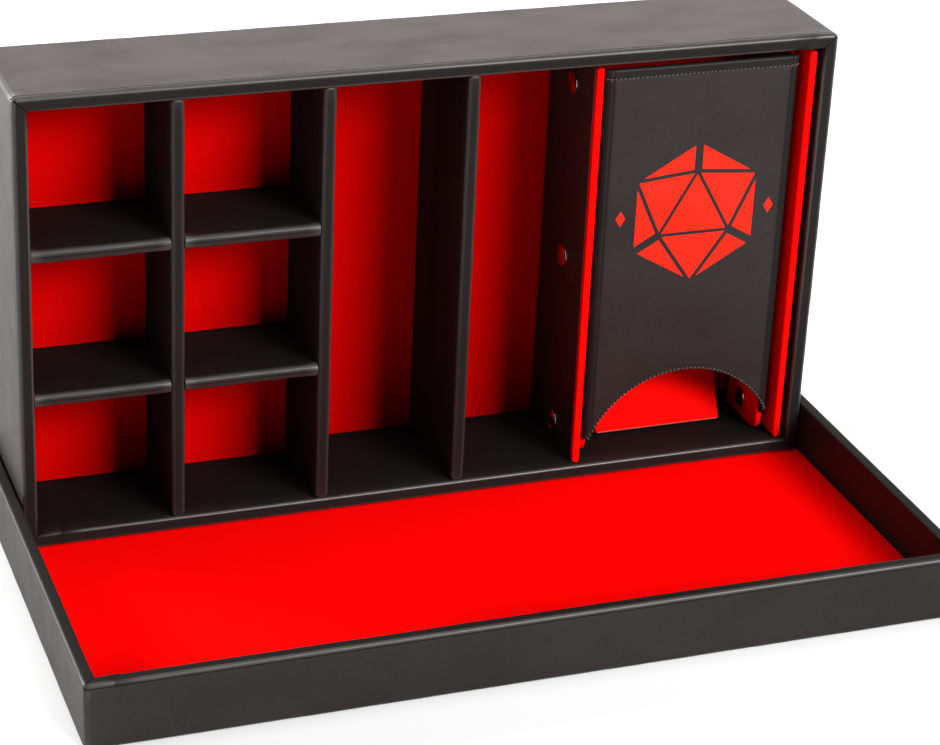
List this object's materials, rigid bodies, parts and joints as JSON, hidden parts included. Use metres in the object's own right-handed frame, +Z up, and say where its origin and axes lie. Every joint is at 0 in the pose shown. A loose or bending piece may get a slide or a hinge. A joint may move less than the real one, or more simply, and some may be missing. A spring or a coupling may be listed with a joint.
{
  "type": "dice storage chest",
  "caption": "Wrapped dice chest standing in its lift-off tray lid, with lined bins, long bays and a snap-together folding dice tower.",
  "frame": {"origin": "middle of the lid's underside, on the surface that the chest stands on", "axes": "+X to the viewer's right along the chest's length, +Y from the viewer to the back, +Z up"},
  "size_m": [0.3686, 0.212, 0.2057],
  "materials": {
    "black_leatherette": "fine-grained satin leatherette wrapped over board",
    "black_board": "black paper-covered board",
    "red_felt": "short-pile felt",
    "red_suede": "suede-like lining over thin board",
    "gunmetal_snap": "polished gunmetal plate"
  },
  "bodies": {
    "tray": {"tray_floor_board": "black_leatherette", "tray_wall_front": "black_leatherette", "tray_wall_back": "black_leatherette", "tray_wall_left": "black_leatherette", "tray_wall_right": "black_leatherette", "tray_felt": "red_felt"},
    "chest": {"chest_back_board": "black_leatherette", "chest_wall_bottom": "black_leatherette", "chest_wall_top": "black_leatherette", "chest_wall_left": "black_leatherette", "chest_wall_right": "black_leatherette", "bin_deck": "black_board", "bin_felt": "red_felt", "long_bay_felt": "red_felt", "tower_bay_felt": "red_felt", "divider_bins": "black_leatherette", "divider_long_bay_left": "black_leatherette", "divider_long_bay_right": "black_leatherette", "shelf_lower": "black_leatherette", "shelf_upper": "black_leatherette"},
    "tower": {"tower_back_board": "red_suede", "tower_back_cover": "black_leatherette", "tower_fold_left": "black_leatherette", "tower_fold_right": "black_leatherette", "tower_right_board": "red_suede", "tower_right_cover": "black_leatherette", "snap_cap_right_low": "gunmetal_snap", "snap_cap_right_middle": "gunmetal_snap", "snap_cap_right_high": "gunmetal_snap", "front_board": "black_leatherette", "front_lining": "red_suede", "front_fold_left": "black_leatherette", "front_fold_right": "black_leatherette", "ramp_tape": "red_suede"},
    "tower_left_side": {"tower_left_board": "red_suede", "tower_left_cover": "black_leatherette", "snap_cap_left_low": "gunmetal_snap", "snap_cap_left_middle": "gunmetal_snap", "snap_cap_left_high": "gunmetal_snap"},
    "flap_left": {"flap_left_board": "red_suede", "flap_left_cover": "black_leatherette", "snap_stud_left_low": "gunmetal_snap", "snap_stud_left_middle": "gunmetal_snap", "snap_stud_left_high": "gunmetal_snap"},
    "flap_right": {"flap_right_board": "red_suede", "flap_right_cover": "black_leatherette", "snap_stud_right_low": "gunmetal_snap", "snap_stud_right_middle": "gunmetal_snap", "snap_stud_right_high": "gunmetal_snap"},
    "ramp": {"ramp_board": "red_suede"}
  },
  "joints": [
    {"name": "chest_lift", "type": "slide", "parent": "tray", "child": "chest", "axis": [0, 0, 1], "range_m": [0, 0.1]},
    {"name": "tower_slide", "type": "slide", "parent": "chest", "child": "tower", "axis": [0, -1, 0], "range_m": [0, 0.075]},
    {"name": "left_side_swing", "type": "hinge", "parent": "tower", "child": "tower_left_side", "pos_m": [0.0687, 0.0946, 0.105], "axis": [0, 0, -1], "range_deg": [0, 60]},
    {"name": "flap_left_swing", "type": "hinge", "parent": "tower", "child": "flap_left", "pos_m": [0.0746, 0.04865, 0.1038], "axis": [0, 0, -1], "range_deg": [0, 18]},
    {"name": "flap_right_swing", "type": "hinge", "parent": "tower", "child": "flap_right", "pos_m": [0.164, 0.04865, 0.1038], "axis": [0, 0, 1], "range_deg": [0, 18]},
    {"name": "ramp_fold", "type": "hinge", "parent": "tower", "child": "ramp", "pos_m": [0.1193, 0.091, 0.071], "axis": [-1, 0, 0], "range_deg": [0, 15]}
  ]
}
